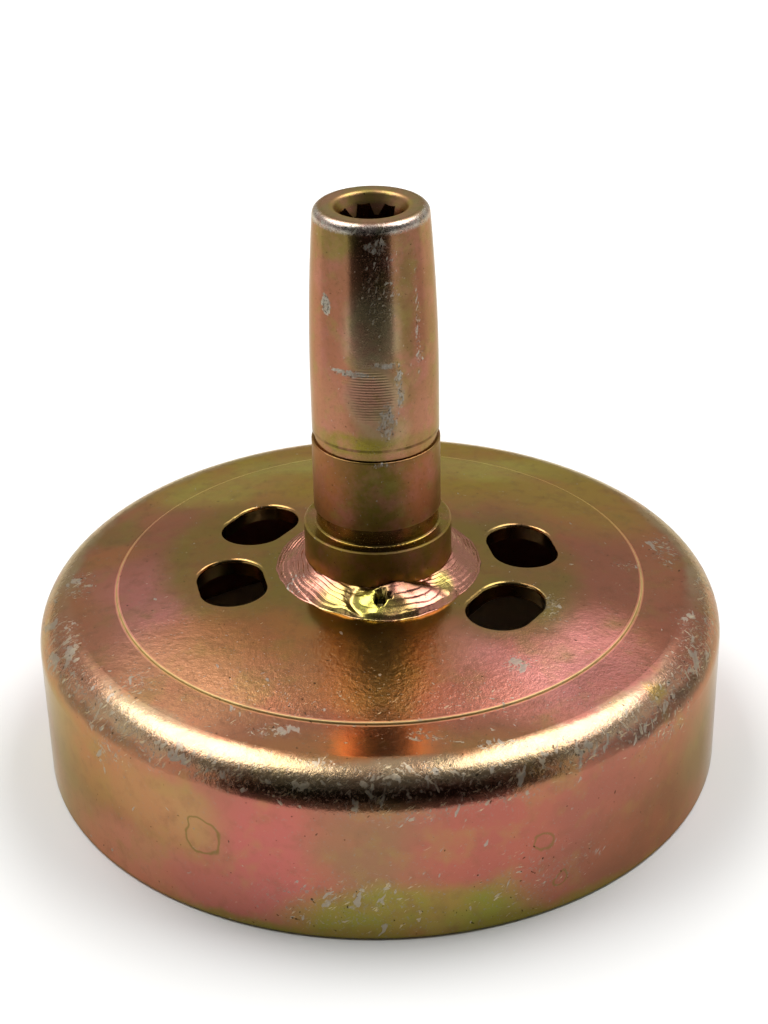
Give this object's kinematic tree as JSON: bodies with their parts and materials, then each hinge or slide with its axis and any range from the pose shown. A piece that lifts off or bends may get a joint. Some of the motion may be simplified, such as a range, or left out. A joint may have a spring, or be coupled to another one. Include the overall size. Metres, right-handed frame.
{
  "type": "brush cutter clutch drum",
  "caption": "Pressed steel clutch drum with a welded hub that has a bearing seat, a circlip groove and a splined shaft socket, yellow zinc plated.",
  "frame": {"origin": "centre of the drum's rim, on the plane that the rim stands on", "axes": "+Z along the hub, from the rim to the nose; X through the middle of both slot pairs"},
  "size_m": [0.082, 0.082, 0.0692],
  "materials": {
    "drum_zinc": "yellow zinc passivate, iridescent, worn grey at the corner",
    "hub_zinc": "yellow zinc passivate over turned steel",
    "weld_zinc": "yellow zinc passivate over a rippled weld"
  },
  "bodies": {
    "root": {"drum_cup": "drum_zinc", "splined_hub": "hub_zinc", "weld_bead": "weld_zinc"}
  },
  "joints": []
}
